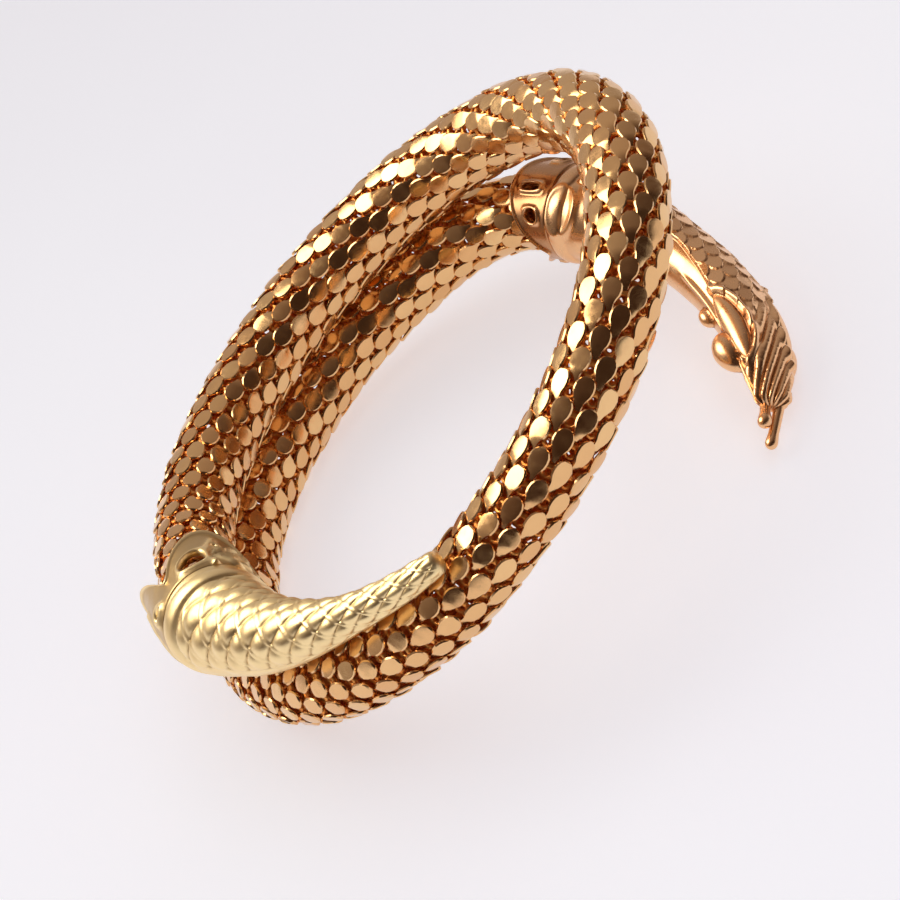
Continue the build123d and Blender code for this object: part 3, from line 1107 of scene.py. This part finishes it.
def cast_collar(name, seat, collar, ornament=None):
    """Lobed openwork collar: a wrapped sheet with its holes cut, thickened, rounded and raised
    along its border."""
    piece, column, row = add_grid(name, collar.columns, COLLAR_ROWS)
    inner = seat.snake.tube / MM + sizes().seat_gap / MM
    points = []
    values = {"rim": [], "tip": [], "turn_cos": [], "turn_sin": []}
    for across, along in zip(column, row):
        down, aside, border = 0, 0, along == 0
        for first, last, left, right in collar.holes():
            offset = (across - left) % collar.columns
            if along in (first, last) and offset in (0, right - left):
                down = CORNER_PULL if along == first else -CORNER_PULL
                aside = CORNER_PULL if offset == 0 else -CORNER_PULL
            if first <= along <= last and offset <= right - left:
                border = True
        where = across + aside
        tip = collar.length * collar.reach(where) * (1 - (along + down) / COLLAR_ROWS)
        angle = TAU * where / collar.columns
        radius = inner + stand_off(collar.flare, angle)
        centre, _, back, side = seat.frame(-tip)
        points.append(centre + (back * math.cos(angle) + side * math.sin(angle)) * radius * MM)
        values["rim"].append(1.0 if border else 0.0)
        values["tip"].append(tip)
        values["turn_cos"].append(math.cos(angle))
        values["turn_sin"].append(math.sin(angle))
    set_points(piece, points)
    for key, numbers in values.items():
        set_values(piece, key, numbers)
    cut_holes(piece, column, row, collar)
    wall = piece.modifiers.new("wall", "SOLIDIFY")
    wall.thickness = COLLAR_WALL * MM
    wall.offset = outward_offset(piece, seat)
    bpy.ops.object.modifier_apply(modifier=wall.name)
    rounding = piece.modifiers.new("rounding", "SUBSURF")
    rounding.levels = 2
    rounding.render_levels = 2
    bpy.ops.object.modifier_apply(modifier=rounding.name)
    raise_collar(piece, seat, inner, collar.flare, ornament)
    bpy.ops.object.shade_smooth()
    return piece


def cut_holes(piece, column, row, collar):
    """Takes out the open cells of a collar and joins its seam."""
    select_only(piece)
    switch_mode("EDIT")
    bpy.ops.mesh.select_all(action="DESELECT")
    switch_mode("OBJECT")
    for polygon in piece.data.polygons:
        low_row = min(row[k] for k in polygon.vertices)
        low_column = min(column[k] for k in polygon.vertices)
        for first, last, left, right in collar.holes():
            offset = (low_column - left) % collar.columns
            if first <= low_row < last and offset < right - left:
                polygon.select = True
    switch_mode("EDIT")
    bpy.ops.mesh.delete(type="FACE")
    bpy.ops.mesh.select_all(action="SELECT")
    bpy.ops.mesh.remove_doubles(threshold=MERGE_DISTANCE)
    bpy.ops.mesh.normals_make_consistent(inside=False)
    switch_mode("OBJECT")


def outward_offset(piece, seat):
    """Way the wall has to grow: 1 where the faces look away from the middle line."""
    polygon = piece.data.polygons[len(piece.data.polygons) // 2]
    centre = min(
        (seat.frame(-before)[0] for before in range(12)),
        key=lambda point: (point - polygon.center).length)
    return 1.0 if polygon.normal.dot(polygon.center - centre) > 0 else -1.0


def raise_collar(piece, seat, inner, flare, ornament):
    """Lifts the border and the cast ornament of a collar off its outer face, and paints shade on its
    inner faces and its sunk panels.
    """
    rims = get_values(piece, "rim")
    tips = get_values(piece, "tip")
    turns = np.arctan2(get_values(piece, "turn_sin"), get_values(piece, "turn_cos"))
    points = []
    relief = []
    for vertex, rim, tip, angle in zip(piece.data.vertices, rims, tips, turns):
        centre, along, _, _ = seat.frame(-tip)
        outward = vertex.co - centre
        outward -= along * outward.dot(along)
        radius = outward.length / MM
        outer = soft(0.35, 0.75, (radius - inner - stand_off(flare, angle)) / COLLAR_WALL)
        border = soft(0.25, 0.85, rim)
        figure = ornament(tip, math.degrees(angle) % 360) * (1 - border) if ornament else 0.0
        height = outer * (BORDER_HEIGHT * border + figure)
        points.append(vertex.co + outward.normalized() * height * MM)
        # Painted shade: the inner faces and the sunk panel are darker, while the border and the
        # ornament keep the bright colour.
        relief.append(min(1.0, 0.35 + 0.65 * border + 1.6 * figure) if outer > 0.5 else 0.3)
    set_points(piece, points)
    set_values(piece, "relief", relief)


def prong(snake, hand, length, shank, ball, lean, drop):
    """One prong of the tongue: a round shank with a ball at its end."""
    rows, columns = PRONG_GRID
    root, along, back, side = snake.frame(
        snake.head_seat + sizes().head_length, sizes().head_roll)
    heading = along + side * math.tan(math.radians(lean)) - back * math.tan(math.radians(drop))
    heading = heading.normalized()
    across = heading.cross(back).normalized()
    upward = across.cross(heading)
    origin = root + side * hand * PRONG_APART * MM - heading * PRONG_SUNK * MM
    reach = length + PRONG_SUNK
    piece, column, row = add_grid("prong", columns, rows)
    points = []
    for where, step in zip(column, row):
        place = crowd(reach, step / rows, PRONG_CROWDING)
        from_tip = reach - place
        radius = shank
        if from_tip < 3 * ball:
            swell = math.sqrt(max(1 - ((from_tip - ball) / ball) ** 2, 0))
            blend = shank + (ball - shank) * soft(3 * ball, ball, from_tip)
            radius = max(ball * swell, blend if from_tip > ball else 0.02)
        angle = TAU * (where % columns) / columns
        offset = upward * math.cos(angle) + across * math.sin(angle)
        points.append(origin + heading * place * MM + offset * radius * MM)
    set_points(piece, points)
    set_values(piece, "relief", np.ones(len(points)))
    close_skin(piece)
    return piece


class BRACELET_OT_tail(bpy.types.Operator):
    """Cast tail: lapped scales behind a round bead, and the openwork collar on the mesh"""

    bl_idname = "bracelet.tail"
    bl_label = "Tail"

    def execute(self, context):
        snake = Snake()
        seat = Seat(snake, snake.tail_seat, -1, 0)
        length = sizes().tail_length / MM
        body = cast_skin("tail_casting", seat, TAIL_GRID, length, TAIL_CROWDING, tail_surface)
        collar = cast_collar("tail_collar", seat, TAIL_COLLAR, tail_leaves)
        select_only(body, collar)
        bpy.ops.object.join()
        # The darker groove colour is painted shade in the grooves and creases of the tail.
        body.data.materials.append(
            cast_gold("champagne_plate", colours().tail_gold, "#8E6024", 0.36))
        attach(body, "root")
        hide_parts("tail")
        return {"FINISHED"}


class BRACELET_OT_head(bpy.types.Operator):
    """Cast head: neck, nape scales, crown ridges, eyes, lips and forked tongue, with its collar"""

    bl_idname = "bracelet.head"
    bl_label = "Head"

    def execute(self, context):
        snake = Snake()
        seat = Seat(snake, snake.head_seat, 1, sizes().head_roll)
        length = sizes().head_length / MM
        body = cast_skin("head_casting", seat, HEAD_GRID, length, HEAD_CROWDING, head_surface)
        collar = cast_collar("head_collar", seat, HEAD_COLLAR)
        tongue = [prong(snake, *row) for row in PRONGS]
        select_only(body, collar, *tongue)
        bpy.ops.object.join()
        # The darker groove colour is painted shade in the grooves, creases and lines of the head.
        body.data.materials.append(
            cast_gold("rose_plate", colours().head_gold, "#8A4A20", 0.25))
        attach(body, "root")
        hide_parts("head")
        return {"FINISHED"}


def paper_floor():
    """Sheet of matt paper that is lit from under it, a little less far behind the bracelet."""
    select_only()
    bpy.ops.mesh.primitive_plane_add(size=FLOOR_SIZE)
    floor = bpy.context.object
    floor.name = "floor"
    material = new_material("matt_paper")
    tree = material.node_tree
    place = add_node(tree, "ShaderNodeTexCoord")
    cloud = add_noise(tree, place, 9.0, 3.0)
    tint = mix_colours(tree, colours().floor, FLOOR_SECOND_TONE, cloud)
    glow = add_fall(
        tree, place.outputs["Object"], FLOOR_WAY_BEHIND, FLOOR_FALL, FLOOR_GLOW, FLOOR_GLOW_BEHIND)
    shader = add_node(
        tree, "ShaderNodeBsdfPrincipled", None, {"Roughness": 0.8},
        {"Base Color": tint, "Emission Color": tint, "Emission Strength": glow})
    floor.data.materials.append(finish_material(material, shader))
    return floor


def room_world():
    """Room that the metal mirrors, bright on one side."""
    world = bpy.data.worlds.new("room")
    world.use_nodes = True
    tree = world.node_tree
    looking = add_node(tree, "ShaderNodeTexCoord").outputs["Generated"]
    glow = add_fall(tree, looking, ROOM_BRIGHT_SIDE, ROOM_FALL, ROOM_DARK, ROOM_BRIGHT)
    tone = mix_colours(tree, ROOM_DIM_COLOUR, ROOM_BRIGHT_COLOUR, glow)
    background = tree.nodes["Background"]
    tree.links.new(tone, background.inputs["Color"])
    tree.links.new(glow, background.inputs["Strength"])
    return world


def hang_lamps(group, shines, target):
    """Square area lights turned to a point, seen either in reflections or on matt surfaces."""
    for name, place, size, power, colour in group:
        lamp = bpy.data.lights.new(name, "AREA")
        lamp.shape = "SQUARE"
        lamp.size = size
        lamp.energy = power
        lamp.color = linear(colour)[:3]
        holder = new_object(name, lamp)
        holder.location = Vector(place)
        holder.rotation_euler = (target - holder.location).to_track_quat("-Z", "Y").to_euler()
        holder.visible_glossy = shines
        holder.visible_diffuse = not shines


def aimed_camera(middle):
    """Camera at the photograph's angle, turned about its own line of sight."""
    away = Vector((0, -math.cos(CAMERA_ELEVATION), math.sin(CAMERA_ELEVATION)))
    across = Vector((1, 0, 0))
    upward = away.cross(across)
    right = across * math.cos(CAMERA_ROLL) - upward * math.sin(CAMERA_ROLL)
    top = across * math.sin(CAMERA_ROLL) + upward * math.cos(CAMERA_ROLL)
    target = middle + right * TARGET_RIGHT + top * TARGET_UP
    view = bpy.data.cameras.new("view")
    view.sensor_width = CAMERA_SENSOR
    view.lens = CAMERA_LENS
    view.clip_start = CAMERA_NEAR
    camera = new_object("view", view)
    turn = Matrix((right, top, away)).transposed().to_4x4()
    camera.matrix_world = Matrix.Translation(target + away * CAMERA_DISTANCE) @ turn
    return camera


class BRACELET_OT_stage(bpy.types.Operator):
    """Pale glowing floor, soft studio light and the camera at the photograph's angle"""

    bl_idname = "bracelet.stage"
    bl_label = "Stage"

    def execute(self, context):
        middle = Snake().shift
        floor = paper_floor()
        context.scene.world = room_world()
        lit = middle + Vector((0, 0, LAMP_TARGET_HEIGHT))
        hang_lamps(LAMPS, True, lit)
        hang_lamps(FILLS, False, lit)
        context.scene.camera = aimed_camera(middle)
        context.scene.view_settings.view_transform = "Standard"
        return {"FINISHED"}


class BRACELET_PT_panel(bpy.types.Panel):
    bl_idname = "BRACELET_PT_panel"
    bl_label = "Snake Bracelet"
    bl_space_type = "VIEW_3D"
    bl_region_type = "UI"
    bl_category = "Bracelet"

    def draw(self, context):
        for group in (context.scene.bracelet_sizes, context.scene.bracelet_colours):
            box = self.layout.box()
            for key in group.__annotations__:
                box.prop(group, key)
        for operator in OPERATORS:
            self.layout.operator(operator.bl_idname)


OPERATORS = (
    BRACELET_OT_scales,
    BRACELET_OT_links,
    BRACELET_OT_tail,
    BRACELET_OT_head,
    BRACELET_OT_stage,
)
CLASSES = (BraceletSizes, BraceletColours) + OPERATORS + (BRACELET_PT_panel,)


def register():
    for item in CLASSES:
        bpy.utils.register_class(item)
    bpy.types.Scene.bracelet_sizes = bpy.props.PointerProperty(type=BraceletSizes)
    bpy.types.Scene.bracelet_colours = bpy.props.PointerProperty(type=BraceletColours)


def unregister():
    del bpy.types.Scene.bracelet_colours
    del bpy.types.Scene.bracelet_sizes
    for item in reversed(CLASSES):
        bpy.utils.unregister_class(item)


def main():
    register()
    bpy.ops.bracelet.scales()
    bpy.ops.bracelet.links()
    bpy.ops.bracelet.tail()
    bpy.ops.bracelet.head()
    bpy.ops.bracelet.stage()


if __name__ == "__main__":
    main()
